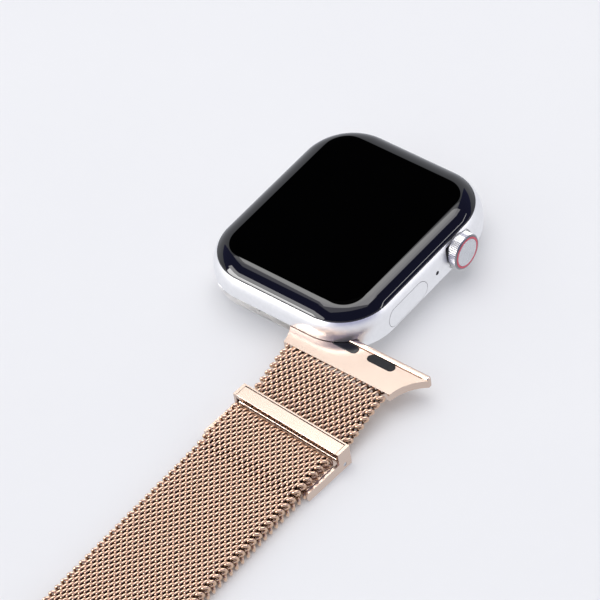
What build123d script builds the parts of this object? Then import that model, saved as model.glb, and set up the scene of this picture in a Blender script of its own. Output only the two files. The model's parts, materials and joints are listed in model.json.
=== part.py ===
"""Smartwatch with a folding mesh-loop strap that is slid half out of its band slot.

Frame: millimetres, origin at the flat centre of the back crystal, on which the watch rests.
+X points to the crown side, +Y to the 12 o'clock end and +Z out of the screen.
The strap leaves the 6 o'clock end, so it runs towards -Y.
"""

from build123d import *
import math
import os

# ---- driving dimensions: watch case ----
CASE_X, CASE_Y = 38.0, 44.0
CORNER_R = 10.5
CASE_BOTTOM, CASE_TOP = 1.5, 10.7
TOP_ROUND, BOTTOM_ROUND = 4.78, 2.9
GLASS_LINE = 8.9
GASKET = 0.2
GASKET_X, GASKET_Y, GASKET_R = 33.0, 37.0, 7.5
CAVITY_X, CAVITY_Y, CAVITY_R = 32.4, 34.6, 7.0
CAVITY_FLOOR = 2.4
BACK_X, BACK_Y, BACK_R = 30.4, 32.6, 6.0
CRYSTAL_R, CRYSTAL_NECK_R = 12.6, 10.4
FIT = 0.06

# ---- driving dimensions: screen ----
SCREEN_X, SCREEN_Y, SCREEN_R = 29.0, 34.8, 4.6
GLASS_HOLLOW_X, GLASS_HOLLOW_Y, GLASS_HOLLOW_R = 30.8, 36.8, 7.0
GLASS_UNDERSIDE = 9.8

# ---- driving dimensions: crown and side controls ----
CROWN_Y, CROWN_Z, CROWN_R = 8.15, 6.2, 3.5
CROWN_BACK, CROWN_FACE = 18.6, 20.65
CROWN_RIDGES = 56
CROWN_GAP, CROWN_WELL_R, CROWN_DISC_R = 0.3, 3.07, 2.66
BUTTON_Y, BUTTON_Z = -7.05, 5.55
BUTTON_LONG, BUTTON_TALL, BUTTON_THICK = 10.9, 3.8, 0.85
STEM_STEP = 2.9
MIC_Y, MIC_Z, MIC_R = 1.45, 5.95, 0.42
SCREW_X, SCREW_Y = 13.4, 14.4
RELEASE_Y = 20.1

# ---- driving dimensions: parts inside the case ----
BOARD_X, BOARD_Y, BOARD_R = 30.0, 32.0, 3.5
BOARD_LOW, BOARD_HIGH, SHIELD_HIGH = 3.45, 4.2, 5.0
SHIELD_X, SHIELD_Y = (-6.0, 8.0), (-7.0, 10.5)
BATTERY = (-8.5, 10.5), (-6.5, 16.6), (5.1, 8.7)
HAPTIC = (-9.5, 12.2), (-15.9, -8.9), (4.4, 8.4)
SPEAKER = (-15.8, -10.0), (-9.5, 9.5), (4.45, 6.6)
SPEAKER_DUCT = (-16.15, -15.8), (-8.4, 8.4), (4.55, 5.5)
SOUND_SLOT_Y, SOUND_SLOT_LONG, SOUND_SLOT_TALL, SOUND_SLOT_Z = 4.8, 7.6, 1.1, 5.0
SENSOR_R, SENSOR_Z, COIL_R, COIL_HOLE_R, COIL_Z, WAFER = 8.4, 2.62, 12.6, 8.9, 2.75, 0.6
OPTICS_RING_R, OPTICS_LARGE, OPTICS_SMALL = 5.2, 2.2, 1.6
POST_R, THREAD_R, SCREW_R, SCREW_HEAD_R = 1.1, 0.52, 0.5, 0.95
DISPLAY_LOW = 9.05
BUSH_R, BUSH_BORE, BUSH_X = 2.2, 1.28, (15.3, 17.8)
SHAFT_R, SHAFT_END = 1.25, 13.8
STEM_R, STEM_END = 0.5, 15.6

# ---- driving dimensions: band slot and connector ----
SLOT_DEEP_Y, SLOT_LIP_Y = 18.25, 19.7
SLOT_LOW, SLOT_HIGH = 2.8, 5.5
MOUTH_LOW, MOUTH_HIGH = 3.2, 5.15
STRAP_X = 17.1
PLATE_LOW, PLATE_HIGH = 3.35, 5.0
BEAD_LOW, BEAD_HIGH = 2.95, 5.35
BEAD_Y0, BEAD_Y1 = -18.45, -19.5
BEAD_HALF, BEAD_ROUND, JOINT_HALF = 15.5, 0.36, 11.75
GROOVE, GROOVE_SHORT = 0.16, 1.3
PLATE_END_Y = -25.6
PAD_Y, PAD_LONG, PAD_WIDE = -20.45, 5.9, 1.8
LATCH_X, LATCH_LONG, PAD_STEP = -1.85, 5.4, 7.85
PAD_PLACES = (LATCH_X - PAD_STEP, LATCH_X + PAD_STEP)
PAD_FLOOR, LATCH_FLOOR, LATCH_HEAD_LOW = 4.4, 3.7, 4.05

# ---- driving dimensions: mesh strap and loop ----
MESH_WIDE, MESH_THICK = 22.6, 1.45
LAYER_JOINT_Z = 1.5
LOOP_X, LOOP_Y, LOOP_TURN = 17.4, -39.05, -3.6
LOOP_HALF, CHEEK_THICK = 12.25, 0.6
LOOP_TOP = 4.4
LIP_Y, CHEEK_NEAR_Y = 1.6, -1.33
ARM_END_Y, ARM_TOP = -9.35, 1.95
BAR_LOW, BAR_HIGH = 1.5, 2.2
FOLD_Y, FOLD_Z = -3.15, 1.85
PIN_Z, PIN_R = 1.0, 0.4
FLEX_Y = [-51.0, -66.0, -81.0, -96.0, -112.0, -127.0, -142.0]
FLEX_GAP, FLEX_BEVEL = 0.1, 0.85
CLASP_END_Y = -108.6
MAGNET_X = [STRAP_X + 5.2 * step for step in (-1.5, -0.5, 0.5, 1.5)]

# ---- driving dimensions: clasp ----
TRAY_HALF, TRAY_WALL, TRAY_TALL = 11.95, 0.45, 1.6
TRAY_LOW = LAYER_JOINT_Z + 0.05
TRAY_NEAR_Y = FLEX_Y[3] - 0.95
CLASP_BED, CLASP_LIFT = 0.9, 0.98
MAGNET_HALF, MAGNET_TALL = 2.05, 0.6
CLASP_PIN_R, CLASP_PIN_Y, CLASP_PIN_Z = 0.28, CLASP_END_Y + 1.6, TRAY_LOW + 1.75


def block(x, y, z, radius=0.0):
    """Box between pairs of coordinates, with its upright edges rounded."""
    solid = Box(x[1] - x[0], y[1] - y[0], z[1] - z[0])
    if radius:
        solid = fillet(solid.edges().filter_by(Axis.Z), radius)
    return Pos((x[0] + x[1]) / 2, (y[0] + y[1]) / 2, (z[0] + z[1]) / 2) * solid


def rounded_plate(size_x, size_y, radius, low, high):
    """Flat plate with rounded corners, centred on the Z axis."""
    return Pos(0, 0, low) * extrude(RectangleRounded(size_x, size_y, radius), high - low)


def rod_x(x0, x1, radius, y, z):
    """Round bar along X."""
    return Pos((x0 + x1) / 2, y, z) * Rot(0, 90, 0) * Cylinder(radius, abs(x1 - x0))


def pill_x(x0, x1, long_y, tall_z, y, z):
    """Stadium-shaped bar along X whose long side lies along Y."""
    outline = Pos(x0, y, z) * Rot(0, 90, 0) * Rot(0, 0, 90) * SlotOverall(long_y, tall_z)
    return extrude(outline, x1 - x0, dir=(1, 0, 0))


def pill_z(x, y, long_x, wide_y, low, high):
    """Stadium-shaped post along Z whose long side lies along X."""
    return Pos(x, y, low) * extrude(SlotOverall(long_x, wide_y), high - low)


def slab(points, width, centre_x):
    """Closed Y-Z outline drawn out along X."""
    outline = Plane.YZ.offset(centre_x - width / 2) * make_face(Polyline(*points, close=True))
    return extrude(outline, width, dir=(1, 0, 0))


def at_loop(solid):
    """Places a solid drawn in the loop's own axes, which sit a little askew on the strap."""
    return Pos(LOOP_X, LOOP_Y, 0) * Rot(0, 0, LOOP_TURN) * solid


# ---- watch case ----
def case_envelope():
    body = rounded_plate(CASE_X, CASE_Y, CORNER_R, CASE_BOTTOM, CASE_TOP)
    body = fillet(body.faces().sort_by(Axis.Z)[-1].edges(), TOP_ROUND)
    return fillet(body.faces().sort_by(Axis.Z)[0].edges(), BOTTOM_ROUND)


def band_slot(side):
    """Channel across one end of the case; side is +1 at 12 o'clock and -1 at 6 o'clock."""
    pocket_y = sorted((side * SLOT_DEEP_Y, side * SLOT_LIP_Y))
    mouth_y = sorted((side * SLOT_DEEP_Y, side * (CASE_Y / 2 + 1)))
    pocket = block((-20, 20), pocket_y, (SLOT_LOW, SLOT_HIGH))
    pocket = fillet(pocket.edges().filter_by(Axis.X), 0.5)
    return pocket + block((-20, 20), mouth_y, (MOUTH_LOW, MOUTH_HIGH))


def release_hole(side, grow):
    """Stepped well for a band release button in the floor below a slot."""
    x, y = side * -LATCH_X, side * RELEASE_Y
    shaft = pill_z(x, y, 5.0 + grow, 1.4 + grow, CASE_BOTTOM - 1, SLOT_LOW + 1)
    return shaft + pill_z(x, y, 5.8 + grow, 2.0 + grow, 2.1, SLOT_LOW + 1)


def case_body(envelope):
    body = split(envelope, bisect_by=Plane.XY.offset(GLASS_LINE), keep=Keep.BOTTOM)
    body -= rounded_plate(CAVITY_X, CAVITY_Y, CAVITY_R, CAVITY_FLOOR, GLASS_LINE + 1)
    body -= rounded_plate(BACK_X, BACK_Y, BACK_R, CASE_BOTTOM - 1, CAVITY_FLOOR + 1)
    for corner_x in (-SCREW_X, SCREW_X):
        for corner_y in (-SCREW_Y, SCREW_Y):
            body += Pos(corner_x, corner_y, 2.9) * Cylinder(POST_R, 1.0)
            body -= Pos(corner_x, corner_y, 3.0) * Cylinder(THREAD_R, 1.0)
    for side in (-1, 1):
        body -= band_slot(side)
        body -= release_hole(side, 0.12)
    body -= rod_x(CROWN_BACK - 0.35, 20, CROWN_R + CROWN_GAP, CROWN_Y, CROWN_Z)
    body -= rod_x(15.5, 19, BUSH_R + FIT / 2, CROWN_Y, CROWN_Z)
    body -= pill_x(17.9, 20, BUTTON_LONG + 0.16, BUTTON_TALL + 0.16, BUTTON_Y, BUTTON_Z)
    for stem_y in (BUTTON_Y - STEM_STEP, BUTTON_Y + STEM_STEP):
        body -= rod_x(15.5, 19, STEM_R + FIT, stem_y, BUTTON_Z)
    body -= rod_x(15.5, 20, MIC_R, MIC_Y, MIC_Z)
    for slot_y in (-SOUND_SLOT_Y, SOUND_SLOT_Y):
        body -= pill_x(-20, -15.5, SOUND_SLOT_LONG, SOUND_SLOT_TALL, slot_y, SOUND_SLOT_Z)
    return body


def cover_glass(envelope):
    glass = split(envelope, bisect_by=Plane.XY.offset(GLASS_LINE + GASKET), keep=Keep.TOP)
    hollow = rounded_plate(GLASS_HOLLOW_X, GLASS_HOLLOW_Y, GLASS_HOLLOW_R, 8, GLASS_UNDERSIDE)
    return glass - fillet(hollow.faces().sort_by(Axis.Z)[-1].edges(), 0.5)


def glass_gasket(envelope):
    """Seal between case and cover glass, whose edge shows as a thin dark line all round."""
    ring = envelope & block((-CASE_X, CASE_X), (-CASE_Y, CASE_Y), (GLASS_LINE, GLASS_LINE + GASKET))
    return ring - rounded_plate(GASKET_X, GASKET_Y, GASKET_R, GLASS_LINE - 1, GLASS_LINE + 1)


def back_crystal():
    """Shallow dome with a flat centre, and a neck that passes through the back cover."""
    rim = CRYSTAL_R
    outline = Line((0, 0), (3.5, 0)) + TangentArc((3.5, 0), (rim, 1.2), tangent=(1, 0))
    outline += Polyline((rim, 1.2), (rim, CASE_BOTTOM), (CRYSTAL_NECK_R, CASE_BOTTOM),
                        (CRYSTAL_NECK_R, CAVITY_FLOOR), (8.6, CAVITY_FLOOR), (8.6, 1.05),
                        (0, 1.05), (0, 0))
    return revolve(Plane.XZ * make_face(outline), Axis.Z)


def back_cover():
    plate = rounded_plate(BACK_X - FIT, BACK_Y - FIT, BACK_R, CASE_BOTTOM, CAVITY_FLOOR)
    return plate - Pos(0, 0, 2) * Cylinder(CRYSTAL_NECK_R + FIT / 2, 3)


def sensor_optics():
    """Green emitters and photodiodes that look out through the crystal."""
    group = []
    for turn in range(8):
        angle = math.radians(45 * turn)
        size = OPTICS_LARGE if turn % 2 else OPTICS_SMALL
        place = Pos(OPTICS_RING_R * math.cos(angle), OPTICS_RING_R * math.sin(angle), 1.75)
        group.append(place * Rot(0, 0, 45 * turn) * Box(size, size, 1.1))
    return Compound(children=group)


def board_screws():
    group = []
    for corner_x in (-SCREW_X, SCREW_X):
        for corner_y in (-SCREW_Y, SCREW_Y):
            screw = Pos(corner_x, corner_y, BOARD_HIGH - 0.6) * Cylinder(SCREW_R, 1.2)
            head = Pos(corner_x, corner_y, BOARD_HIGH + 0.25) * Cylinder(SCREW_HEAD_R, 0.5)
            socket = Pos(corner_x, corner_y, BOARD_HIGH + 0.4) * Box(1.2, 0.3, 0.25)
            group.append(screw + head - socket)
    return Compound(children=group)


def logic_board():
    board = rounded_plate(BOARD_X, BOARD_Y, BOARD_R, BOARD_LOW, BOARD_HIGH)
    for corner_x in (-SCREW_X, SCREW_X):
        for corner_y in (-SCREW_Y, SCREW_Y):
            board -= Pos(corner_x, corner_y, BOARD_LOW) * Cylinder(SCREW_R + 0.05, 2)
    return board + block(SHIELD_X, SHIELD_Y, (BOARD_HIGH, SHIELD_HIGH), 0.6)


def display_flex():
    """Flat cable from the display down to the logic board."""
    points = [(-14.2, 9.0), (-14.2, 4.25), (-11.0, 4.25), (-11.0, 4.4), (-14.05, 4.4), (-14.05, 9.0)]
    outline = Plane.XZ.offset(13.5) * make_face(Polyline(*points, close=True))
    return extrude(outline, 3.8, dir=(0, 1, 0))


def charging_coil():
    return Pos(0, 0, COIL_Z) * (Cylinder(COIL_R, WAFER) - Cylinder(COIL_HOLE_R, 2))


def microphone():
    return block((14.2, 15.9), (MIC_Y - 1.3, MIC_Y + 1.3), (MIC_Z - 0.8, MIC_Z + 0.8), 0.2)


def speaker():
    return block(*SPEAKER, 0.8) + block(*SPEAKER_DUCT)


# ---- crown ----
def crown_cap():
    """Ridged cup that carries the coloured ring and the sensing disc in its face."""
    points = []
    for step in range(2 * CROWN_RIDGES):
        angle = math.pi * step / CROWN_RIDGES
        radius = CROWN_R if step % 2 else CROWN_R - 0.16
        points.append((radius * math.cos(angle), radius * math.sin(angle)))
    ridged = extrude(make_face(Polyline(*points, close=True)), 1.4)
    base = Pos(0, 0, -0.2) * Cylinder(CROWN_R - 0.3, 0.4)
    rim = Pos(0, 0, 1.4) * extrude(Circle(CROWN_R - 0.1), 0.2, taper=35)
    cap = ridged + base + rim
    cap -= Pos(0, 0, 1.6) * Cylinder(CROWN_WELL_R, 0.8)
    cap -= Pos(0, 0, 0.2) * Cylinder(SHAFT_R, 1.4)
    return Pos(CROWN_BACK + 0.4, CROWN_Y, CROWN_Z) * Rot(0, 90, 0) * cap


def crown_bush():
    bush = rod_x(*BUSH_X, BUSH_R, CROWN_Y, CROWN_Z)
    return bush - rod_x(15, 18, BUSH_BORE, CROWN_Y, CROWN_Z)


def crown_shaft():
    shaft = rod_x(SHAFT_END, CROWN_BACK + 1.3, SHAFT_R, CROWN_Y, CROWN_Z)
    groove = rod_x(14.25, 14.95, 2, CROWN_Y, CROWN_Z) - rod_x(14, 15.2, 0.95, CROWN_Y, CROWN_Z)
    return shaft - groove


def crown_collar():
    """Slotted clip in the shaft groove: it travels with the crown but doesn't turn."""
    ring = rod_x(14.32, 14.88, 1.6, CROWN_Y, CROWN_Z) - rod_x(14, 15.2, 1.0, CROWN_Y, CROWN_Z)
    return ring - block((14, 15.2), (CROWN_Y - 0.5, CROWN_Y + 0.5), (CROWN_Z - 3, CROWN_Z))


def crown_switch():
    """Sensor block that the shaft's end reaches into."""
    return block((12.0, 13.5), (CROWN_Y - 1.6, CROWN_Y + 1.6), (CROWN_Z - 1.4, CROWN_Z + 1.4), 0.2)


def crown_disc():
    disc = rod_x(CROWN_FACE - 0.45, CROWN_FACE + 0.05, CROWN_DISC_R, CROWN_Y, CROWN_Z)
    return fillet(disc.faces().sort_by(Axis.X)[-1].edges(), 0.12)


def crown_ring():
    ring = rod_x(CROWN_FACE - 0.45, CROWN_FACE, CROWN_WELL_R - 0.02, CROWN_Y, CROWN_Z)
    return ring - rod_x(CROWN_FACE - 1, CROWN_FACE + 1, CROWN_DISC_R + 0.02, CROWN_Y, CROWN_Z)


# ---- side button ----
def side_button(envelope):
    back, front = CASE_X / 2 - BUTTON_THICK, CASE_X / 2 + 0.5
    cap = pill_x(back, front, BUTTON_LONG, BUTTON_TALL, BUTTON_Y, BUTTON_Z)
    return cap & envelope


def side_button_stems():
    stems = []
    for stem_y in (BUTTON_Y - STEM_STEP, BUTTON_Y + STEM_STEP):
        stems.append(rod_x(STEM_END, CASE_X / 2 - BUTTON_THICK, STEM_R, stem_y, BUTTON_Z))
    return Compound(children=stems)


def button_switch():
    """Switch strip behind both stems."""
    return block((12.6, 15.3), (BUTTON_Y - 3.6, BUTTON_Y + 3.6), (BUTTON_Z - 0.7, BUTTON_Z + 0.9), 0.3)


def release_button(side, envelope):
    x, y = side * -LATCH_X, side * RELEASE_Y
    shaft = pill_z(x, y, 5.0, 1.4, CASE_BOTTOM, 2.6)
    return (shaft + pill_z(x, y, 5.8, 2.0, 2.14, 2.6)) & envelope


# ---- strap connectors ----
def connector_plate():
    """Lug plate with a thick bead that slides in a band slot, drawn centred for 6 o'clock."""
    flare = Spline([(BEAD_HALF, BEAD_Y1), (13.3, -21.7), (12.3, -23.5), (JOINT_HALF, PLATE_END_Y)])
    outline = flare + mirror(flare, Plane.YZ)
    outline += Line((JOINT_HALF, PLATE_END_Y), (-JOINT_HALF, PLATE_END_Y))
    outline += Line((-BEAD_HALF, BEAD_Y1), (BEAD_HALF, BEAD_Y1))
    plate = Pos(0, 0, PLATE_LOW) * extrude(make_face(outline), PLATE_HIGH - PLATE_LOW)
    groove_half = BEAD_HALF - GROOVE_SHORT
    groove_y = (BEAD_Y1 - GROOVE, BEAD_Y1 + 0.1)
    plate -= block((-groove_half, groove_half), groove_y, (PLATE_HIGH - GROOVE, PLATE_HIGH + 1))
    bead = block((-BEAD_HALF, BEAD_HALF), (BEAD_Y1, BEAD_Y0), (BEAD_LOW, BEAD_HIGH), BEAD_ROUND)
    plate += fillet(bead.edges().filter_by(Axis.X), BEAD_ROUND)
    for x in PAD_PLACES:
        plate -= pill_z(x, PAD_Y, PAD_LONG, PAD_WIDE, PAD_FLOOR, PLATE_HIGH + 1)
    plate -= pill_z(LATCH_X, PAD_Y, LATCH_LONG + 0.12, PAD_WIDE + 0.12, LATCH_FLOOR, PLATE_HIGH + 1)
    return plate - pill_z(LATCH_X, PAD_Y, LATCH_LONG - 0.9, PAD_WIDE - 0.8, PLATE_LOW - 1, PLATE_HIGH)


def connector_pads():
    pads = []
    for x in PAD_PLACES:
        pad = pill_z(x, PAD_Y, PAD_LONG - 0.04, PAD_WIDE - 0.04, PAD_FLOOR, PLATE_HIGH + 0.06)
        pads.append(fillet(pad.faces().sort_by(Axis.Z)[-1].edges(), 0.1))
    return Compound(children=pads)


def latch():
    """Pill that dips into the plate against its spring; its foot shows below."""
    head = pill_z(LATCH_X, PAD_Y, LATCH_LONG, PAD_WIDE, LATCH_HEAD_LOW, PLATE_HIGH)
    head = fillet(head.faces().sort_by(Axis.Z)[-1].edges(), 0.15)
    foot = pill_z(LATCH_X, PAD_Y, LATCH_LONG - 1.1, PAD_WIDE - 0.95, PLATE_LOW + 0.3, LATCH_HEAD_LOW)
    return head + foot


def latch_spring():
    ring = pill_z(LATCH_X, PAD_Y, LATCH_LONG - 0.2, PAD_WIDE - 0.1, LATCH_FLOOR, LATCH_HEAD_LOW)
    return ring - pill_z(LATCH_X, PAD_Y, LATCH_LONG - 0.85, PAD_WIDE - 0.75, PLATE_LOW, PLATE_HIGH)


# ---- short mesh and loop ----
def short_mesh():
    """Mesh from the connector down to the loop's end block, with a gentle S bend."""
    half = MESH_THICK / 2
    nose_y, nose_z = PLATE_END_Y - 0.08 - half, (PLATE_LOW + PLATE_HIGH) / 2
    top = Spline([(nose_y, nose_z + half), (-29.3, 4.55), (-34.6, 3.2), (-38.7, 2.85)],
                 tangents=[(-1, 0), (-1, -0.05)])
    bottom = Spline([(nose_y, nose_z - half), (-29.3, 3.1), (-34.6, 1.75), (-38.7, 1.4)],
                    tangents=[(-1, 0), (-1, -0.05)])
    nose = ThreePointArc(top @ 0, (nose_y + half, nose_z), bottom @ 0)
    outline = top + bottom + nose + Line(top @ 1, bottom @ 1)
    width = MESH_WIDE - 0.2
    face = Plane.YZ.offset(STRAP_X - width / 2) * make_face(outline)
    return extrude(face, width, dir=(1, 0, 0))


def mesh_end_block():
    """Bar welded to the short mesh, bored for the loop pin."""
    half = LOOP_HALF - CHEEK_THICK - 0.15
    bar = block((-half, half), (-1.1, 1.25), (0.15, 2.6))
    bar = fillet(bar.edges().filter_by(Axis.X), 0.35)
    return at_loop(bar - rod_x(-half - 1, half + 1, PIN_R + 0.04, 0, PIN_Z))


def loop_frame():
    """Cheeks, lip, side arms and the flat bar that the long mesh folds round."""
    frame = block((-LOOP_HALF, LOOP_HALF), (LIP_Y - 0.28, LIP_Y), (3.35, LOOP_TOP))
    for side in (-1, 1):
        inner, outer = side * (LOOP_HALF - CHEEK_THICK), side * LOOP_HALF
        cheek_x = sorted((inner, outer))
        cheek = block(cheek_x, (CHEEK_NEAR_Y, LIP_Y), (0.0, LOOP_TOP))
        arm_x = sorted((side * (LOOP_HALF - 0.53), outer))
        frame += cheek + block(arm_x, (ARM_END_Y, CHEEK_NEAR_Y), (0.0, ARM_TOP))
    bar_half = LOOP_HALF - 0.53
    bar = block((-bar_half, bar_half), (ARM_END_Y + 0.2, FOLD_Y + 0.3), (BAR_LOW, BAR_HIGH))
    bar = fillet(bar.edges().filter_by(Axis.X).sort_by(Axis.Y)[-2:], 0.3)
    frame += bar
    return at_loop(frame - rod_x(-20, 20, PIN_R, 0, PIN_Z))


def loop_cover():
    half = LOOP_HALF - CHEEK_THICK - 0.09
    cover = block((-half, half), (CHEEK_NEAR_Y, LIP_Y - 0.4), (3.6, LOOP_TOP))
    long_edges = cover.edges().filter_by(Axis.X).sort_by(Axis.Z)[-2:]
    return at_loop(fillet(long_edges, 0.12))


def loop_pin():
    return at_loop(rod_x(-LOOP_HALF + 0.05, LOOP_HALF - 0.05, PIN_R - 0.02, 0, PIN_Z))


def mesh_layer(y_near, y_far, low, high, far_square=False):
    """Flat length of mesh; its ends slope away from the plane between the layers, so it can bend."""
    inner, outer = (high, low) if high < LAYER_JOINT_Z else (low, high)
    far_inner = y_far if far_square else y_far + FLEX_GAP
    far_outer = y_far if far_square else y_far + FLEX_GAP + FLEX_BEVEL
    points = [(y_near - FLEX_GAP, inner), (y_near - FLEX_GAP - FLEX_BEVEL, outer),
              (far_outer, outer), (far_inner, inner)]
    return slab(points, MESH_WIDE, STRAP_X)


def long_mesh_fold():
    """Lower layer inside the loop and the bend in front of the flat bar."""
    inner_r = FOLD_Z - MESH_THICK
    tube = rod_x(-MESH_WIDE / 2 + 0.3, MESH_WIDE / 2 - 0.3, FOLD_Z, FOLD_Y, FOLD_Z)
    tube -= rod_x(-15, 15, inner_r + 0.02, FOLD_Y, FOLD_Z)
    tube &= block((-15, 15), (FOLD_Y, FOLD_Y + 3), (0, FOLD_Z))
    fold = Pos(STRAP_X - LOOP_X, 0, 0) * tube
    far_y = FLEX_Y[0]
    points = [(LOOP_Y + FOLD_Y - 0.6, MESH_THICK), (LOOP_Y + FOLD_Y - 0.6, 0),
              (far_y + FLEX_GAP + FLEX_BEVEL, 0), (far_y + FLEX_GAP, MESH_THICK)]
    lower = slab(points, MESH_WIDE - 0.2, STRAP_X)
    link = block((-MESH_WIDE / 2 + 0.35, MESH_WIDE / 2 - 0.35), (FOLD_Y - 1.6, FOLD_Y), (0, MESH_THICK))
    return at_loop(fold + Pos(STRAP_X - LOOP_X, 0, 0) * link) + lower


def folded_mesh_root():
    """Upper layer where it leaves the fold, above the flat bar."""
    low, high = BAR_HIGH + 0.05, BAR_HIGH + 0.05 + MESH_THICK
    near_y, far_y = LOOP_Y + FOLD_Y - 1.15, FLEX_Y[0]
    over_bar = LOOP_Y + ARM_END_Y - 0.2
    points = [(near_y, low), (over_bar, low), (far_y + FLEX_GAP, LAYER_JOINT_Z + 0.05),
              (far_y + FLEX_GAP + FLEX_BEVEL, LAYER_JOINT_Z + 0.2 + MESH_THICK), (over_bar, high),
              (near_y, high)]
    return slab(points, MESH_WIDE - 0.2, STRAP_X)


def lower_mesh(index):
    """One flexing length of the lower layer; the last one ends in a round nose at its lug."""
    if index < len(FLEX_Y) - 1:
        return mesh_layer(FLEX_Y[index - 1], FLEX_Y[index], 0.0, MESH_THICK)
    half = MESH_THICK / 2
    nose_y = FLEX_Y[index] + half
    body = mesh_layer(FLEX_Y[index - 1], nose_y, 0.0, MESH_THICK, far_square=True)
    return body + rod_x(STRAP_X - MESH_WIDE / 2, STRAP_X + MESH_WIDE / 2, half, nose_y, half)


def upper_mesh(index):
    low = LAYER_JOINT_Z + 0.05
    return mesh_layer(FLEX_Y[index - 1], FLEX_Y[index], low, low + MESH_THICK)


# ---- magnetic clasp at the free end of the folded mesh ----
def clasp_tray():
    """Shallow tray on the folded mesh's end: magnets below, cover bar at the tip."""
    left, right = STRAP_X - TRAY_HALF, STRAP_X + TRAY_HALF
    tray = block((left, right), (CLASP_END_Y, TRAY_NEAR_Y), (TRAY_LOW, TRAY_LOW + TRAY_TALL))
    tray = fillet(tray.edges().filter_by(Axis.Z).sort_by(Axis.Y)[:2], 0.5)
    bed_y = (CLASP_END_Y + 0.4, TRAY_NEAR_Y + 1)
    tray -= block((left + TRAY_WALL, right - TRAY_WALL), bed_y, (TRAY_LOW + CLASP_BED, 9))
    pocket_y = (CLASP_END_Y + 1.2, TRAY_NEAR_Y - 0.6)
    pocket_half = MAGNET_HALF + 0.05
    for x in MAGNET_X:
        tray -= block((x - pocket_half, x + pocket_half), pocket_y, (TRAY_LOW + 0.25, 9), 0.3)
    ear_y, ear_z = (CLASP_END_Y + 0.3, CLASP_END_Y + 2.9), (TRAY_LOW + 1.0, TRAY_LOW + 2.9)
    tray += block((left, left + TRAY_WALL), ear_y, ear_z)
    tray += block((right - TRAY_WALL, right), ear_y, ear_z)
    return tray - rod_x(0, 40, CLASP_PIN_R + 0.02, CLASP_PIN_Y, CLASP_PIN_Z)


def clasp_magnets():
    low = TRAY_LOW + 0.25
    magnet_y = (CLASP_END_Y + 1.25, TRAY_NEAR_Y - 0.65)
    group = []
    for x in MAGNET_X:
        group.append(block((x - MAGNET_HALF, x + MAGNET_HALF), magnet_y, (low, low + MAGNET_TALL), 0.25))
    return Compound(children=group)


def clasp_mesh():
    """End of the folded mesh lying in the tray."""
    low = LAYER_JOINT_Z + CLASP_LIFT
    tip_y = CLASP_END_Y + 0.5
    points = [(TRAY_NEAR_Y, low), (tip_y, low), (tip_y, low + 1.1), (tip_y + 2.0, low + 1.1),
              (tip_y + 3.4, low + MESH_THICK), (TRAY_NEAR_Y, low + MESH_THICK)]
    return slab(points, MESH_WIDE, STRAP_X)


def clasp_cover():
    low = LAYER_JOINT_Z + CLASP_LIFT + 1.12
    half = TRAY_HALF - TRAY_WALL - 0.1
    cover_y = (CLASP_END_Y + 0.35, CLASP_END_Y + 2.4)
    cover = block((STRAP_X - half, STRAP_X + half), cover_y, (low, low + 0.8))
    return fillet(cover.edges().filter_by(Axis.X).sort_by(Axis.Z)[-2:], 0.15)


def clasp_pin():
    half = TRAY_HALF - 0.05
    return rod_x(STRAP_X - half, STRAP_X + half, CLASP_PIN_R, CLASP_PIN_Y, CLASP_PIN_Z)


def seated(solid):
    """Moves a piece of the 6 o'clock connector to where it is, part way out of the slot."""
    return Pos(STRAP_X, 0, 0) * solid


def far_end(solid):
    """Places a piece of the second connector on the far end of the strap."""
    return Pos(STRAP_X, FLEX_Y[-1] - 0.15 + PLATE_END_Y, -BEAD_LOW) * Rot(0, 0, 180) * solid


def build():
    envelope = case_envelope()
    nodes = {
        "case_body": case_body(envelope),
        "cover_glass": cover_glass(envelope),
        "glass_gasket": glass_gasket(envelope),
        "display_panel": rounded_plate(SCREEN_X, SCREEN_Y, SCREEN_R, DISPLAY_LOW, GLASS_UNDERSIDE - 0.02),
        "back_cover": back_cover(),
        "back_crystal": back_crystal(),
        "sensor_board": Pos(0, 0, SENSOR_Z) * Cylinder(SENSOR_R, WAFER),
        "sensor_optics": sensor_optics(),
        "charging_coil": charging_coil(),
        "logic_board": logic_board(),
        "board_screws": board_screws(),
        "battery": block(*BATTERY, 1.0),
        "haptic_motor": block(*HAPTIC, 1.5),
        "speaker": speaker(),
        "microphone": microphone(),
        "display_flex": display_flex(),
        "crown_bush": crown_bush(),
        "crown_switch": crown_switch(),
        "button_switch": button_switch(),
        "crown_cap": crown_cap(),
        "crown_ring": crown_ring(),
        "crown_disc": crown_disc(),
        "crown_shaft": crown_shaft(),
        "crown_collar": crown_collar(),
        "side_button": side_button(envelope),
        "side_button_stems": side_button_stems(),
        "release_button_lower": release_button(-1, envelope),
        "release_button_upper": release_button(1, envelope),
        "connector_plate_a": seated(connector_plate()),
        "connector_pads_a": seated(connector_pads()),
        "latch_a": seated(latch()),
        "latch_spring_a": seated(latch_spring()),
        "connector_plate_b": far_end(connector_plate()),
        "connector_pads_b": far_end(connector_pads()),
        "latch_b": far_end(latch()),
        "latch_spring_b": far_end(latch_spring()),
        "short_mesh": short_mesh(),
        "mesh_end_block": mesh_end_block(),
        "loop_frame": loop_frame(),
        "loop_cover": loop_cover(),
        "loop_pin": loop_pin(),
        "long_mesh_fold": long_mesh_fold(),
        "folded_mesh_root": folded_mesh_root(),
        "clasp_tray": clasp_tray(),
        "clasp_magnets": clasp_magnets(),
        "clasp_mesh": clasp_mesh(),
        "clasp_cover": clasp_cover(),
        "clasp_pin": clasp_pin(),
    }
    for index in range(1, len(FLEX_Y)):
        nodes["long_mesh_" + str(index)] = lower_mesh(index)
    for index in range(1, 4):
        nodes["folded_mesh_" + str(index)] = upper_mesh(index)
    return nodes


os.makedirs("parts", exist_ok=True)
for name, solid in build().items():
    export_step(solid, "parts/" + name + ".step")
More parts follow.
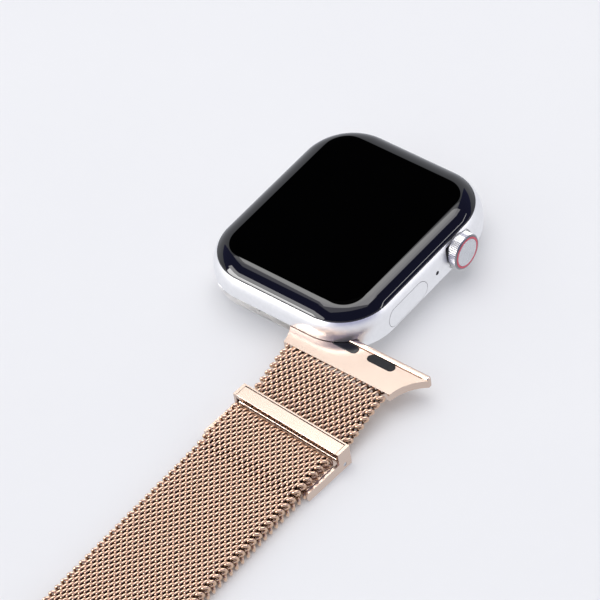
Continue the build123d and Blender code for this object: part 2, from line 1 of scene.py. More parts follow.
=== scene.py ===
"""Looks of a smartwatch on its folding mesh strap: finishes, woven wire, studio and camera.

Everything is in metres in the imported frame: the watch lies on its back crystal at the origin,
+X is the crown side, +Y the 12 o'clock end, and the strap runs out along -Y.
"""

import json
import math

import bpy
import numpy as np
from mathutils import Matrix, Vector


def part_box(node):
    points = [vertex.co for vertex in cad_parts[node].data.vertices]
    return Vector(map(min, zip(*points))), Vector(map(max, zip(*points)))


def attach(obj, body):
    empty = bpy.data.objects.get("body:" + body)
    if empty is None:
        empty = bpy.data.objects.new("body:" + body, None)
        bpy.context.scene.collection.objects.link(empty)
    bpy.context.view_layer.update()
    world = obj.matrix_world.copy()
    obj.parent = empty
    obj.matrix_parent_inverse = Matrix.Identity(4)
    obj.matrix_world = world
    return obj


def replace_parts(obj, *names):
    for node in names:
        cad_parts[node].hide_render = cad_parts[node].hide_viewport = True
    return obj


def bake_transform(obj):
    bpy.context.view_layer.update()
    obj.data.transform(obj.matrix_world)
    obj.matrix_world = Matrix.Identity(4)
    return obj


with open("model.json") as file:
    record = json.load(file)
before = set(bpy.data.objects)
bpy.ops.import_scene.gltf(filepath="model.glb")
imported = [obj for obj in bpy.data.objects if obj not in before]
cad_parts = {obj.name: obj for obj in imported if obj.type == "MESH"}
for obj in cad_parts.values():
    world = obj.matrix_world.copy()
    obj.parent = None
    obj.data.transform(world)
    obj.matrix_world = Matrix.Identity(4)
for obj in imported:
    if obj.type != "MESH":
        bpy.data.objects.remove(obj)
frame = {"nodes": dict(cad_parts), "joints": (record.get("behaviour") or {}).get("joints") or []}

MM = 0.001
NODES = frame["nodes"]
PIVOTS = {joint["name"]: joint.get("pos_m") for joint in frame["joints"]}
AXES = {joint["name"]: joint["axis"] for joint in frame["joints"]}
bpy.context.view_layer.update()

# ---- the woven mesh ----
STRAP_X = PIVOTS["flex_1"][0]
MESH_LOW, MESH_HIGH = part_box("long_mesh_2")
MESH_HALF = (MESH_HIGH.x - MESH_LOW.x) / 2
MESH_THICK = MESH_HIGH.z - MESH_LOW.z
WIRE_R = 0.23 * MM
COIL_PITCH = 1.31 * MM
ROW_STEP = 0.785 * MM
ROW_SPAN = 0.95 * ROW_STEP
ROW_RISE = MESH_THICK / 2 - WIRE_R
CREST_FLATNESS = 0.6
BAR_UPRIGHT = 0.12
TURN_SAMPLES = 16
WIRE_SIDES = 8
# Range of the painted shade mask over which the wire's colour goes from lit to painted shade.
PAINTED_RECESS_SHADE = (-0.5, 0.2)

# ---- the coils' ends, which form the strap's edges ----
EDGE_ROOM = 1.0 * MM
EDGE_SWELL = 0.28
EDGE_SKEW = 0.18 * MM
OUTER_EXTRA_TURNS, INNER_EXTRA_TURNS = 0.25, -0.75
OUTER_END_ANGLE, INNER_END_ANGLE = 1.7 * math.pi, 1.55 * math.pi

# ---- the course of the mesh ----
# The lean is how far the rows turn from square: all of the loop's beside it, a share at the connector.
# The folded layer settles from the loop's bar onto the lower layer, and climbs again onto the clasp's tray.
# The path runs on past each end by a spare length, so that the end coils have something to lie on.
LOOP_LEAN = math.atan2(AXES["loop_pivot"][1], AXES["loop_pivot"][0])
FLEX_Y = [PIVOTS["flex_" + str(k)][1] for k in range(1, 7)]
FOLD_Y = PIVOTS["fold_peel"][1] + math.tan(LOOP_LEAN) * (STRAP_X - PIVOTS["fold_peel"][0])
CLASP_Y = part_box("clasp_tray")[1].y
CONNECTOR_LEAN = 0.6
LEAN_RUN, LEAN_START = 1.4, 0.1
PATH_SPARE = 1.0 * MM
PATH_SAMPLES, ARC_SAMPLES, SHORT_SAMPLES = 600, 60, 200
TANGENT_STEP = 0.15 * MM
SHORT_START = 0.65 * MM
SHORT_END_Z = 2.125 * MM
LAYER_GAP = 0.05 * MM
SETTLE_START, SETTLE_RUN = 0.6 * MM, 4 * MM
CLIMB_START, CLIMB_RUN = 4.5 * MM, 4.3 * MM
FIRST_ROW = 0.4 * ROW_SPAN
CLASP_JOIN = 0.4 * MM

# ---- camera ----
AZIMUTH, ELEVATION, ROLL = math.radians(45.12), math.radians(45.99), math.radians(-9.4)
CAMERA_DISTANCE = 739.8 * MM
AIM = Vector((-1.84, -12.76, 0.0)) * MM
LENS, SENSOR = 248.3, 36.0

# ---- coated part of the cover glass ----
COATING_MARGIN, COATING_CORNER = 0.2 * MM, 4.2 * MM
COATING_SHIFT = Vector((-0.2, 0.1, 0)) * MM
COATING_FADE = 0.08 * MM

# ---- crown ----
CROWN_GROOVE, CROWN_CREST, CROWN_DEPTH = 3.34 * MM, 3.51 * MM, 0.6 * MM
CROWN_FADE = 0.01 * MM

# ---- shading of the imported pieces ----
WELD_DISTANCE = 0.0005 * MM
SHARP_CORNER = math.radians(24)
DRIFT_GRAINS = 12
COIL_TURN, TRACE_PITCH = 1.1 * MM, 1.6 * MM

# ---- studio ----
WORLD_COLOUR, WORLD_LEVEL = (0.93, 0.95, 1.03), 0.88
CANOPY_COLOUR = (0.16, 0.17, 0.40)
LAMP_COLOUR = (1.0, 0.99, 0.98)
CANOPY_RADIUS = 1.4
CANOPY_TURN, CANOPY_TILT = (-190, 100), (18, 90)
CANOPY_COLUMNS, CANOPY_ROWS = 59, 19
FLOOR_HALF = 3.0
CLIP_NEAR, CLIP_FAR = 0.01, 20
# Softboxes seen only in reflections: name, direction, distance, size, radiance.
GLOWS = (
    ("high_glow", (-0.145, 0.315, 1.0), 1.06, (0.95, 0.63), 3.4),
    ("left_upper", (-0.492, -0.64, 0.59), 1.2, (1.0, 0.25), 5.0),
    ("left_lower", (-0.492, -0.75, 0.44), 1.2, (1.0, 0.22), 14.0),
    ("right_upper", (0.684, 0.49, 0.538), 1.2, (0.8, 0.03), 9.0),
    ("right_lower", (0.80, 0.49, 0.345), 1.2, (0.8, 0.05), 9.0),
)


# ---- finishes ----
class Finish:
    """A principled material with short helpers for procedural detail, sized in millimetres."""

    def __init__(self, name, **values):
        self.material = bpy.data.materials.new(name)
        self.material.use_nodes = True
        self.nodes = self.material.node_tree.nodes
        self.links = self.material.node_tree.links
        self.shader = self.nodes["Principled BSDF"]
        for socket, value in values.items():
            self.shader.inputs[socket.replace("_", " ")].default_value = value

    def add(self, kind, **settings):
        node = self.nodes.new(kind)
        for key, value in settings.items():
            setattr(node, key, value)
        return node

    def place(self, stretch=(1, 1, 1)):
        """Coordinates in the object's own space, stretched so that detail runs along one axis."""
        coordinates = self.add("ShaderNodeTexCoord")
        mapping = self.add("ShaderNodeMapping")
        mapping.inputs["Scale"].default_value = stretch
        self.links.new(coordinates.outputs["Object"], mapping.inputs["Vector"])
        return mapping.outputs["Vector"]

    def noise(self, grain_mm, stretch=(1, 1, 1), detail=3.0):
        node = self.add("ShaderNodeTexNoise")
        node.inputs["Scale"].default_value = 1 / (grain_mm * MM)
        node.inputs["Detail"].default_value = detail
        self.links.new(self.place(stretch), node.inputs["Vector"])
        return node.outputs["Fac"]

    def spread(self, source, low, high, source_low=0.3, source_high=0.7):
        """The source mapped to a range of values."""
        node = self.add("ShaderNodeMapRange")
        for socket, value in zip(("From Min", "From Max", "To Min", "To Max"),
                                 (source_low, source_high, low, high)):
            node.inputs[socket].default_value = value
        self.links.new(source, node.inputs["Value"])
        return node.outputs["Result"]

    def mix(self, factor, first, second):
        """Colour between two colours, which may be colours or sockets."""
        node = self.add("ShaderNodeMix", data_type="RGBA")
        self.links.new(factor, node.inputs["Factor"])
        for socket, colour in ((node.inputs[6], first), (node.inputs[7], second)):
            if isinstance(colour, bpy.types.NodeSocket):
                self.links.new(colour, socket)
            else:
                socket.default_value = (*colour, 1)
        return node.outputs[2]

    def drive(self, socket, source):
        self.links.new(source, self.shader.inputs[socket])

    def bump(self, height, depth_mm):
        node = self.add("ShaderNodeBump")
        node.inputs["Strength"].default_value = 1.0
        node.inputs["Distance"].default_value = depth_mm * MM
        self.links.new(height, node.inputs["Height"])
        self.links.new(node.outputs["Normal"], self.shader.inputs["Normal"])


def mottled(name, low, high, rough, grain_mm, bump_mm=0.0, stretch=(1, 1, 1), metallic=0.0, **values):
    """The common finish: a slow drift of colour, and a fine grain in roughness and relief."""
    finish = Finish(name, Metallic=metallic, **values)
    drift = finish.spread(finish.noise(grain_mm * DRIFT_GRAINS), 0, 1)
    finish.drive("Base Color", finish.mix(drift, low, high))
    grain = finish.noise(grain_mm, stretch)
    finish.drive("Roughness", finish.spread(grain, *rough))
    if bump_mm:
        finish.bump(grain, bump_mm)
    return finish


def blasted_aluminium():
    """Bead-blasted case metal, with painted shade darkening the grooves between the crown's ridges."""
    finish = Finish("case_aluminium", Metallic=1.0)
    drift = finish.spread(finish.noise(0.84), 0, 1)
    metal = finish.mix(drift, (0.86, 0.853, 0.84), (0.90, 0.893, 0.88))
    axis = NODES["crown_cap"].matrix_world.inverted() @ Vector(PIVOTS["crown_turn"])
    from_axis = finish.add("ShaderNodeVectorMath", operation="SUBTRACT")
    finish.links.new(finish.place(), from_axis.inputs[0])
    from_axis.inputs[1].default_value = axis
    across = finish.add("ShaderNodeVectorMath", operation="MULTIPLY")
    finish.links.new(from_axis.outputs[0], across.inputs[0])
    across.inputs[1].default_value = (0, 1, 1)
    radius = finish.add("ShaderNodeVectorMath", operation="LENGTH")
    finish.links.new(across.outputs[0], radius.inputs[0])
    groove = finish.spread(radius.outputs["Value"], 1, 0, CROWN_GROOVE, CROWN_CREST)
    inside = finish.spread(radius.outputs["Value"], 1, 0, CROWN_CREST, CROWN_CREST + CROWN_FADE)
    parts = finish.add("ShaderNodeSeparateXYZ")
    finish.links.new(from_axis.outputs[0], parts.inputs[0])
    beyond_case = finish.spread(parts.outputs["X"], 0, 1, -CROWN_DEPTH - CROWN_FADE, -CROWN_DEPTH)
    both = finish.add("ShaderNodeMath", operation="MULTIPLY")
    finish.links.new(inside, both.inputs[0])
    finish.links.new(beyond_case, both.inputs[1])
    cap = both.outputs[0]
    # Painted shade: the grooves between the crown's ridges are darkened to grey in the base colour.
    painted_groove_shade = finish.mix(groove, (0.76, 0.755, 0.745), (0.26, 0.26, 0.27))
    finish.drive("Base Color", finish.mix(cap, metal, painted_groove_shade))
    grain = finish.noise(0.07)
    finish.drive("Roughness", finish.spread(grain, 0.30, 0.42))
    finish.bump(grain, 0.0022)
    return finish


def black_glass():
    """Glossy cover over a black mask, coated against reflections where it lies over the display."""
    finish = Finish("cover_glass", IOR=1.5)
    low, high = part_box("display_panel")
    half = (high - low) / 2
    straight = (half.x + COATING_MARGIN - COATING_CORNER, half.y + COATING_MARGIN - COATING_CORNER, 1)
    middle = NODES["cover_glass"].matrix_world.inverted() @ ((low + high) / 2 + COATING_SHIFT)
    step = finish.place()
    for operation, operand in (("SUBTRACT", middle), ("ABSOLUTE", None), ("SUBTRACT", straight),
                               ("MAXIMUM", (0, 0, 0)), ("LENGTH", None)):
        node = finish.add("ShaderNodeVectorMath", operation=operation)
        finish.links.new(step, node.inputs[0])
        if operand:
            node.inputs[1].default_value = operand
        step = node.outputs["Value" if operation == "LENGTH" else "Vector"]
    edge = (COATING_CORNER, COATING_CORNER + COATING_FADE)
    finish.drive("Specular IOR Level", finish.spread(step, 0.002, 0.5, *edge))
    film = finish.mix(finish.noise(6), (0.0002, 0.0002, 0.0002), (0.0004, 0.0004, 0.0005))
    finish.drive("Base Color", film)
    finish.drive("Roughness", finish.spread(finish.noise(3.5, detail=6), 0.012, 0.035))
    return finish


def smoked_crystal():
    """Dark transparent dome over the sensors."""
    finish = Finish("back_crystal", Transmission_Weight=1.0, IOR=1.7)
    finish.drive("Base Color", finish.mix(finish.noise(5), (0.30, 0.31, 0.34), (0.36, 0.37, 0.40)))
    finish.drive("Roughness", finish.spread(finish.noise(2), 0.01, 0.03))
    return finish


def wound_copper():
    """Fine turns of lacquered wire round the coil's axis, with painted shade between the turns."""
    finish = Finish("coil_copper", Metallic=1.0)
    rings = finish.add("ShaderNodeTexWave", wave_type="RINGS", rings_direction="Z")
    rings.inputs["Scale"].default_value = 1 / COIL_TURN
    finish.links.new(finish.place(), rings.inputs["Vector"])
    # Painted shade: the colour darkens in the valleys between the turns, where the bump is low.
    finish.drive("Base Color", finish.mix(rings.outputs["Fac"], (0.42, 0.16, 0.07), (0.86, 0.45, 0.24)))
    finish.drive("Roughness", finish.spread(finish.noise(0.4), 0.2, 0.35))
    finish.bump(rings.outputs["Fac"], 0.05)
    return finish


def circuit_board():
    """Green solder resist with faint copper traces under it."""
    finish = Finish("circuit_board", Coat_Weight=0.4, Coat_Roughness=0.15)
    cells = finish.add("ShaderNodeTexVoronoi", distance="CHEBYCHEV", feature="F1")
    cells.inputs["Scale"].default_value = 1 / TRACE_PITCH
    finish.links.new(finish.place(), cells.inputs["Vector"])
    traces = finish.spread(cells.outputs["Distance"], 0, 1, 0.42, 0.5)
    finish.drive("Base Color", finish.mix(traces, (0.006, 0.05, 0.03), (0.02, 0.13, 0.075)))
    finish.drive("Roughness", finish.spread(finish.noise(0.3), 0.35, 0.5))
    finish.bump(traces, 0.02)
    return finish


def polished_gold():
    """Rose-gold plating, polished, with hairline marks along the strap's width."""
    finish = Finish("rose_gold_polish", Metallic=1.0)
    drift = finish.noise(5)
    finish.drive("Base Color", finish.mix(drift, (0.63, 0.495, 0.405), (0.655, 0.52, 0.425)))
    hairline = finish.noise(0.05, stretch=(0.02, 1, 1))
    finish.drive("Roughness", finish.spread(hairline, 0.17, 0.23))
    return finish


def woven_gold():
    """Drawn rose-gold wire with painted shade: bright on the rolled crests, darkened where coils hook into
    each other.
    """
    finish = Finish("rose_gold_mesh", Metallic=1.0)
    recess = finish.add("ShaderNodeAttribute", attribute_name="recess").outputs["Fac"]
    drift = finish.mix(finish.noise(2.5), (0.66, 0.455, 0.315), (0.69, 0.485, 0.34))
    # Painted shade: the base colour darkens to deep brown on the wire faces that point into the mesh.
    painted_shade_mask = finish.spread(recess, 0, 1, *PAINTED_RECESS_SHADE)
    finish.drive("Base Color", finish.mix(painted_shade_mask, drift, (0.05, 0.016, 0.005)))
    drawn = finish.noise(0.05, stretch=(1, 0.25, 1))
    finish.drive("Roughness", finish.spread(drawn, 0.28, 0.38))
    return finish


PLAIN_FINISHES = {
    "seal_rubber": dict(low=(0.006, 0.006, 0.007), high=(0.012, 0.012, 0.013), rough=(0.45, 0.6),
                        grain_mm=0.05, bump_mm=0.002),
    "display_black": dict(low=(0.002, 0.002, 0.003), high=(0.004, 0.004, 0.006), rough=(0.05, 0.1),
                          grain_mm=0.3),
    "back_ceramic": dict(low=(0.012, 0.012, 0.014), high=(0.02, 0.02, 0.023), rough=(0.1, 0.18),
                         grain_mm=0.1, bump_mm=0.001, Coat_Weight=0.6),
    "optics": dict(low=(0.03, 0.16, 0.06), high=(0.06, 0.30, 0.12), rough=(0.1, 0.2),
                   grain_mm=0.25, bump_mm=0.01, Coat_Weight=1.0),
    "steel": dict(low=(0.50, 0.50, 0.51), high=(0.62, 0.61, 0.61), rough=(0.2, 0.34),
                  grain_mm=0.05, bump_mm=0.0012, stretch=(1, 0.1, 1), metallic=1.0),
    "battery_foil": dict(low=(0.02, 0.02, 0.024), high=(0.04, 0.04, 0.046), rough=(0.28, 0.45),
                         grain_mm=0.25, bump_mm=0.03),
    "speaker_black": dict(low=(0.01, 0.01, 0.011), high=(0.02, 0.02, 0.021), rough=(0.4, 0.55),
                          grain_mm=0.08, bump_mm=0.006),
    "flex_film": dict(low=(0.30, 0.14, 0.02), high=(0.45, 0.22, 0.04), rough=(0.2, 0.32),
                      grain_mm=0.4, bump_mm=0.01, Coat_Weight=0.5),
    "bush_brass": dict(low=(0.62, 0.42, 0.16), high=(0.76, 0.54, 0.24), rough=(0.2, 0.34),
                       grain_mm=0.06, bump_mm=0.0012, metallic=1.0),
    "crown_red": dict(low=(0.58, 0.07, 0.11), high=(0.66, 0.09, 0.13), rough=(0.25, 0.35),
                      grain_mm=0.06, bump_mm=0.0012, metallic=0.35),
    "crown_disc": dict(low=(0.56, 0.57, 0.58), high=(0.66, 0.67, 0.68), rough=(0.2, 0.3),
                       grain_mm=0.05, bump_mm=0.001, metallic=0.7),
    "pad_rubber": dict(low=(0.006, 0.006, 0.007), high=(0.012, 0.012, 0.013), rough=(0.3, 0.42),
                       grain_mm=0.05, bump_mm=0.003, Specular_IOR_Level=0.15),
    "latch_black": dict(low=(0.006, 0.006, 0.007), high=(0.012, 0.012, 0.013), rough=(0.1, 0.18),
                        grain_mm=0.06, bump_mm=0.001, Specular_IOR_Level=0.4),
    "magnet": dict(low=(0.42, 0.42, 0.44), high=(0.55, 0.55, 0.57), rough=(0.18, 0.3),
                   grain_mm=0.1, bump_mm=0.001, metallic=1.0),
}
SPECIAL_FINISHES = {
    "case_aluminium": blasted_aluminium,
    "cover_glass": black_glass,
    "back_crystal": smoked_crystal,
    "coil_copper": wound_copper,
    "circuit_board": circuit_board,
    "rose_gold_polish": polished_gold,
    "rose_gold_mesh": woven_gold,
}
finishes = {name: mottled(name, **values).material for name, values in PLAIN_FINISHES.items()}
finishes.update({name: make().material for name, make in SPECIAL_FINISHES.items()})


# ---- pieces carried over from the frame ----
def corner_shading():
    """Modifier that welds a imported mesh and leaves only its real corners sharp."""
    tree = bpy.data.node_groups.new("corner_shading", "GeometryNodeTree")
    for direction in ("INPUT", "OUTPUT"):
        tree.interface.new_socket(name="Geometry", in_out=direction, socket_type="NodeSocketGeometry")
    nodes, links = tree.nodes, tree.links
    steps = [nodes.new("NodeGroupInput")]
    drop = nodes.new("GeometryNodeRemoveAttribute")
    drop.inputs["Name"].default_value = "custom_normal"
    weld = nodes.new("GeometryNodeMergeByDistance")
    weld.inputs["Distance"].default_value = WELD_DISTANCE
    smooth_faces = nodes.new("GeometryNodeSetShadeSmooth")
    smooth_edges = nodes.new("GeometryNodeSetShadeSmooth")
    smooth_edges.domain = "EDGE"
    sharpen = nodes.new("GeometryNodeSetShadeSmooth")
    sharpen.domain = "EDGE"
    sharpen.inputs["Shade Smooth"].default_value = False
    corner = nodes.new("FunctionNodeCompare")
    corner.operation = "GREATER_THAN"
    corner.inputs["B"].default_value = SHARP_CORNER
    links.new(nodes.new("GeometryNodeInputMeshEdgeAngle").outputs["Unsigned Angle"], corner.inputs["A"])
    links.new(corner.outputs["Result"], sharpen.inputs["Selection"])
    steps += [drop, weld, smooth_faces, smooth_edges, sharpen, nodes.new("NodeGroupOutput")]
    for before, after in zip(steps, steps[1:]):
        links.new(before.outputs[0], after.inputs[0])
    return tree


def dress_cad_nodes():
    shading = corner_shading()
    for node in NODES.values():
        for holder in node.material_slots:
            holder.material = finishes[holder.material.name.split(".")[0]]
        node.modifiers.new("corners", "NODES").node_group = shading
        flats = node.modifiers.new("flats", "WEIGHTED_NORMAL")
        flats.keep_sharp = True


# ---- weaving ----
def smooth_step(t):
    t = np.clip(t, 0, 1)
    return t * t * (3 - 2 * t)


class Path:
    """Centreline of a length of mesh in the Y-Z plane, read by distance along it."""

    def __init__(self, points):
        self.points = np.array(points)
        steps = np.linalg.norm(np.diff(self.points, axis=0), axis=1)
        self.reach = np.concatenate(([0], np.cumsum(steps)))

    def at(self, distance):
        return np.stack([np.interp(distance, self.reach, self.points[:, axis]) for axis in (0, 1)], axis=-1)

    def frame(self, distance):
        """Position and left-hand normal, both as (y, z)."""
        tangent = self.at(distance + TANGENT_STEP) - self.at(distance - TANGENT_STEP)
        tangent /= np.linalg.norm(tangent, axis=-1, keepdims=True)
        return self.at(distance), np.stack([-tangent[:, 1], tangent[:, 0]], axis=-1)


def coil(is_outer):
    """One coil about its own middle, as columns: across the strap, along it, through it, and wire swelling.

    Every second coil is an outer one: its last turns open into the wide loops that form the strap's edges,
    and the coils between them end inside those loops.
    """
    quarter = math.pi / 2
    start = quarter if is_outer else -quarter
    room = (MESH_HALF - EDGE_ROOM) / COIL_PITCH
    whole_turns = math.floor(room + (OUTER_EXTRA_TURNS if is_outer else INNER_EXTRA_TURNS))
    loop_start = 2 * math.pi * whole_turns
    end = loop_start + (OUTER_END_ANGLE if is_outer else INNER_END_ANGLE)
    theta = np.linspace(start, end, int((end - start) / (2 * math.pi) * TURN_SAMPLES) + 1)
    across = COIL_PITCH * (theta - start + BAR_UPRIGHT * np.sin(2 * theta)) / (2 * math.pi)
    along = ROW_SPAN * np.cos(theta)
    rise = np.sin(theta)
    through = -ROW_RISE * np.sign(rise) * np.abs(rise) ** CREST_FLATNESS
    swell = np.ones_like(theta)
    if is_outer:
        in_loop = theta > loop_start
        turned = np.where(in_loop, theta - loop_start, 0)
        reach = (1 - np.cos(turned)) / 2
        bend = COIL_PITCH * (loop_start - start) / (2 * math.pi)
        tip = MESH_HALF - WIRE_R * (1 + EDGE_SWELL)
        across = np.where(in_loop, bend + (tip - bend) * reach, across)
        along = np.where(in_loop, ROW_SPAN - (ROW_SPAN + EDGE_SKEW) * reach, along)
        swell += EDGE_SWELL * smooth_step(turned)
    half = np.stack([across, along, through, swell], axis=-1)
    other_half = half[:0:-1] * (-1, -1, 1, 1)
    return np.concatenate([other_half, half])


COILS = [coil(True), coil(False)]
RING = np.linspace(0, 2 * math.pi, WIRE_SIDES, endpoint=False)


def lay_coil(shape, path, distance, lean_at):
    """Ring vertices of one coil bent along the path, and how much each faces into the mesh, the mask for
    its painted shade.
    """
    across, along, through, swell = shape.T
    middle, normal = path.frame(distance + along)
    x = STRAP_X + across
    y = middle[:, 0] + normal[:, 0] * through + np.tan(lean_at(middle[:, 0])) * across
    z = middle[:, 1] + normal[:, 1] * through
    line = np.stack([x, y, z], axis=-1)
    tangent = np.gradient(line, axis=0)
    tangent /= np.linalg.norm(tangent, axis=1, keepdims=True)
    side = np.array((1.0, 0, 0)) - tangent * tangent[:, :1]
    side /= np.linalg.norm(side, axis=1, keepdims=True)
    other = np.cross(tangent, side)
    radius = (WIRE_R * swell)[:, None, None]
    around = np.cos(RING)[None, :, None] * side[:, None] + np.sin(RING)[None, :, None] * other[:, None]
    offset = radius * around
    facing = np.einsum("ijk,ik->ij", offset[:, :, 1:], normal) / radius[:, :, 0]
    # Painted shade mask: inward faces get the most, the swollen edge loops less.
    inward = -facing * through[:, None] / ROW_RISE - (swell[:, None] - 1) / EDGE_SWELL
    return (line[:, None] + offset).reshape(-1, 3), inward.ravel()


def tube_faces(rings, first):
    """Quads between rings and a cap on each end, for vertices that start at first."""
    ring = np.arange(WIRE_SIDES)
    base = first + np.arange(rings - 1)[:, None] * WIRE_SIDES
    quads = np.stack([base + ring, base + (ring + 1) % WIRE_SIDES,
                      base + WIRE_SIDES + (ring + 1) % WIRE_SIDES, base + WIRE_SIDES + ring], axis=-1)
    caps = [(first + ring[::-1]).tolist(), (first + (rings - 1) * WIRE_SIDES + ring).tolist()]
    return quads.reshape(-1, 4).tolist() + caps


def weave(name, path, first_row, last_row, row_start, lean_at):
    """A piece of mesh from one row to before another, each row one coil."""
    vertices, faces, recess = [], [], []
    count = 0
    for row in range(first_row, last_row):
        shape = COILS[row % 2]
        points, inward_shade = lay_coil(shape, path, row_start + row * ROW_STEP, lean_at)
        faces += tube_faces(len(shape), count)
        vertices.append(points)
        recess.append(inward_shade)
        count += len(points)
    mesh = bpy.data.meshes.new(name)
    mesh.from_pydata(np.concatenate(vertices).tolist(), [], faces)
    mesh.shade_smooth()
    # The painted shade mask, stored on each vertex for the wire's finish.
    painted_shade_mask = mesh.attributes.new("recess", "FLOAT", "POINT")
    painted_shade_mask.data.foreach_set("value", np.concatenate(recess).astype(np.float32))
    mesh.materials.append(finishes["rose_gold_mesh"])
    piece = bpy.data.objects.new(name, mesh)
    bpy.context.scene.collection.objects.link(piece)
    return piece


def weave_short_mesh():
    """The short length that hangs from the connector down to the loop."""
    block_low, block_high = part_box("mesh_end_block")
    top_y, top_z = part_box("short_mesh")[1].y, PIVOTS["short_mesh_flex"][2]
    end_y = (block_low.y + block_high.y) / 2
    drop_start, drop_end = PIVOTS["short_mesh_flex"][1], block_high.y
    y = np.linspace(top_y + PATH_SPARE, end_y - PATH_SPARE, SHORT_SAMPLES)
    z = top_z + (SHORT_END_Z - top_z) * smooth_step((drop_start - y) / (drop_start - drop_end))
    path = Path(np.stack([y, z], axis=-1))
    rows = int((top_y - end_y) / ROW_STEP)

    def lean(y):
        down = np.clip((top_y - y) / (top_y - end_y), 0, 1)
        return LOOP_LEAN * (CONNECTOR_LEAN + (1 - CONNECTOR_LEAN) * down)

    piece = weave("short_mesh_weave", path, 0, rows, SHORT_START + ROW_SPAN, lean)
    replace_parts(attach(piece, "short_mesh"), "short_mesh")


def long_path():
    """From the far lug along the floor, round the loop's flat bar, and back over itself to the clasp."""
    floor_z = MESH_THICK / 2
    fold_z = PIVOTS["fold_peel"][2]
    radius = fold_z - floor_z
    far_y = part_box("long_mesh_6")[0].y + floor_z
    bar_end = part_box("loop_frame")[0].y
    run_z = PIVOTS["flex_1"][2] + LAYER_GAP + MESH_THICK / 2
    tray_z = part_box("clasp_mesh")[0].z + MESH_THICK / 2
    angles = np.linspace(-math.pi / 2, math.pi / 2, ARC_SAMPLES)
    lower = [(far_y - PATH_SPARE, floor_z), (FOLD_Y, floor_z)]
    bend = np.stack([FOLD_Y + radius * np.cos(angles), fold_z + radius * np.sin(angles)], axis=-1)
    y = np.linspace(FOLD_Y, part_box("clasp_mesh")[0].y - PATH_SPARE, PATH_SAMPLES)
    z = np.full_like(y, fold_z + radius)
    z += (run_z - fold_z - radius) * smooth_step((bar_end + SETTLE_START - y) / SETTLE_RUN)
    z += (tray_z - run_z) * smooth_step((CLASP_Y + CLIMB_START - y) / CLIMB_RUN)
    upper = np.stack([y, z], axis=-1)
    return Path(np.concatenate([lower, bend[1:-1], upper]))


def long_lean(y):
    """Coils lie parallel to the loop beside it, and square across the strap by the clasp."""
    return LOOP_LEAN * np.clip(LEAN_RUN * (y - CLASP_Y) / (FOLD_Y - CLASP_Y) - LEAN_START, 0, 1)


def bend_between(piece):
    """Bakes the piece's placement into its vertices; it is not bent between bodies."""
    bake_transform(piece)


def weave_long_mesh():
    """The long length in pieces, each over one joint, that meet half way between the joints."""
    path = long_path()
    arc_length = math.pi * (PIVOTS["fold_peel"][2] - MESH_THICK / 2)
    far_y = path.points[0][0]
    arc_start = FOLD_Y - far_y
    arc_end = arc_start + arc_length
    row_start = PATH_SPARE + FIRST_ROW

    def row_at(distance):
        return round((distance - row_start) / ROW_STEP)

    def upper_distance(y):
        after = path.reach > arc_end
        return np.interp(-y, -path.points[after, 0], path.reach[after])

    halves = [(a + b) / 2 for a, b in zip(FLEX_Y, FLEX_Y[1:] + [far_y + PATH_SPARE])]
    marks = [arc_start] + [y - far_y for y in halves[:-1]] + [row_start]
    for k in range(6):
        low_row, high_row = row_at(marks[k + 1]), row_at(marks[k])
        piece = weave(f"lower_weave_{k + 1}", path, low_row, high_row, row_start, long_lean)
        bend_between(piece)
        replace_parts(piece, "long_mesh_" + str(k + 1))

    fold = weave("fold_weave", path, row_at(arc_start), row_at(arc_end), row_start, long_lean)
    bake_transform(fold)
    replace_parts(fold, "long_mesh_fold")

    marks = [arc_end] + [upper_distance(y) for y in halves[:3]] + [upper_distance(CLASP_Y - CLASP_JOIN)]
    covered = ["folded_mesh_root", "folded_mesh_1", "folded_mesh_2", "folded_mesh_3"]
    for k in range(4):
        low_row, high_row = row_at(marks[k]), row_at(marks[k + 1])
        piece = weave(f"upper_weave_{k + 1}", path, low_row, high_row, row_start, long_lean)
        bend_between(piece)
        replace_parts(piece, covered[k])

    tip = upper_distance(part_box("clasp_mesh")[0].y + ROW_SPAN)
    last = weave("clasp_weave", path, row_at(marks[4]), row_at(tip), row_start, long_lean)
    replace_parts(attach(last, "clasp"), "clasp_mesh")


# ---- studio ----
def pale_floor():
    finish = mottled("floor", (0.78, 0.775, 0.768), (0.788, 0.783, 0.774), (0.75, 0.85), 3.0)
    mesh = bpy.data.meshes.new("floor")
    corners = [(x * FLOOR_HALF, y * FLOOR_HALF, 0) for x, y in ((-1, -1), (1, -1), (1, 1), (-1, 1))]
    mesh.from_pydata(corners, [], [(0, 1, 2, 3)])
    mesh.materials.append(finish.material)
    floor = bpy.data.objects.new("floor", mesh)
    bpy.context.scene.collection.objects.link(floor)
    floor.visible_glossy = False


def studio_world():
    """Even pale surroundings."""
    world = bpy.data.worlds.new("studio")
    world.use_nodes = True
    background = world.node_tree.nodes["Background"]
    background.inputs["Color"].default_value = (*WORLD_COLOUR, 1)
    background.inputs["Strength"].default_value = WORLD_LEVEL
    bpy.context.scene.world = world


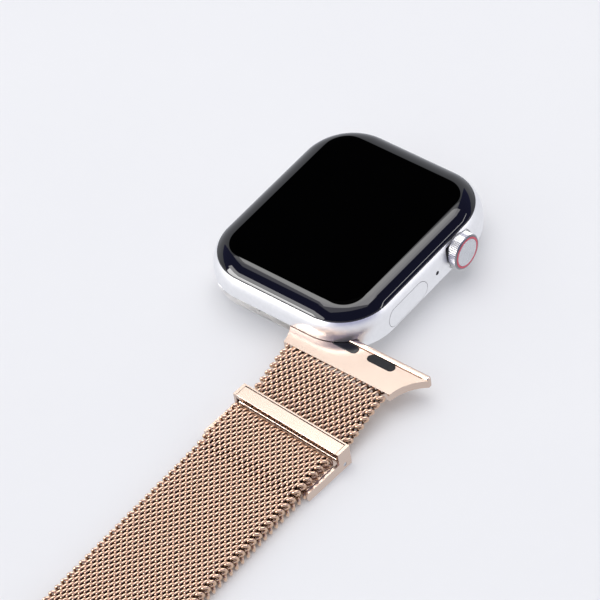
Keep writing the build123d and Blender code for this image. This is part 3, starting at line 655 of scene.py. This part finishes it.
def dark_canopy():
    """Navy dome seen only in reflections, open towards the side away from the camera."""
    turns = np.radians(np.linspace(*CANOPY_TURN, CANOPY_COLUMNS))
    tilts = np.radians(np.linspace(*CANOPY_TILT, CANOPY_ROWS))
    turn, tilt = np.meshgrid(turns, tilts)
    outward = np.stack([np.cos(turn) * np.cos(tilt), np.sin(turn) * np.cos(tilt), np.sin(tilt)], axis=-1)
    points = CANOPY_RADIUS * outward
    at = np.arange(turn.size).reshape(turn.shape)
    faces = np.stack([at[:-1, :-1], at[:-1, 1:], at[1:, 1:], at[1:, :-1]], axis=-1).reshape(-1, 4)
    mesh = bpy.data.meshes.new("dark_canopy")
    mesh.from_pydata(points.reshape(-1, 3).tolist(), [], faces.tolist())
    mesh.materials.append(Finish("canopy_navy", Base_Color=(0, 0, 0, 1), Specular_IOR_Level=0.0,
                                 Emission_Color=(*CANOPY_COLOUR, 1), Emission_Strength=1.0).material)
    canopy = bpy.data.objects.new("dark_canopy", mesh)
    bpy.context.scene.collection.objects.link(canopy)
    canopy.visible_camera = False
    canopy.visible_diffuse = False
    canopy.visible_shadow = False


def camera():
    back = Vector((math.sin(AZIMUTH) * math.cos(ELEVATION), -math.cos(AZIMUTH) * math.cos(ELEVATION),
                   math.sin(ELEVATION)))
    level = Vector((math.cos(AZIMUTH), math.sin(AZIMUTH), 0))
    upright = back.cross(level)
    right = math.cos(ROLL) * level + math.sin(ROLL) * upright
    up = back.cross(right)
    lens = bpy.data.cameras.new("camera")
    lens.lens, lens.sensor_width = LENS, SENSOR
    lens.clip_start, lens.clip_end = CLIP_NEAR, CLIP_FAR
    view = bpy.data.objects.new("camera", lens)
    bpy.context.scene.collection.objects.link(view)
    turned = Matrix((right, up, back)).transposed().to_4x4()
    view.matrix_world = Matrix.Translation(AIM + back * CAMERA_DISTANCE) @ turned
    bpy.context.scene.camera = view


def softbox_toward(name, direction, distance, size, radiance):
    """Softbox that faces the watch from a direction and glows at a radiance."""
    light = bpy.data.lights.new(name, "AREA")
    light.shape = "RECTANGLE"
    light.size, light.size_y = size
    light.energy = radiance * size[0] * size[1] * math.pi
    light.color = LAMP_COLOUR
    lamp = bpy.data.objects.new(name, light)
    bpy.context.scene.collection.objects.link(lamp)
    place = Vector(direction).normalized() * distance
    lamp.location = place
    lamp.rotation_euler = (-place).to_track_quat("-Z", "Y").to_euler()
    return lamp


def studio():
    bpy.context.scene.view_settings.view_transform = "Standard"
    pale_floor()
    camera()
    studio_world()
    dark_canopy()
    softbox_toward("overhead", (-0.15, 0.15, 0.98), 1.0, (0.95, 0.95), 1.25)
    for name, direction, distance, size, radiance in GLOWS:
        panel = softbox_toward(name, direction, distance, size, radiance)
        panel.visible_diffuse = False


dress_cad_nodes()
weave_short_mesh()
weave_long_mesh()
studio()
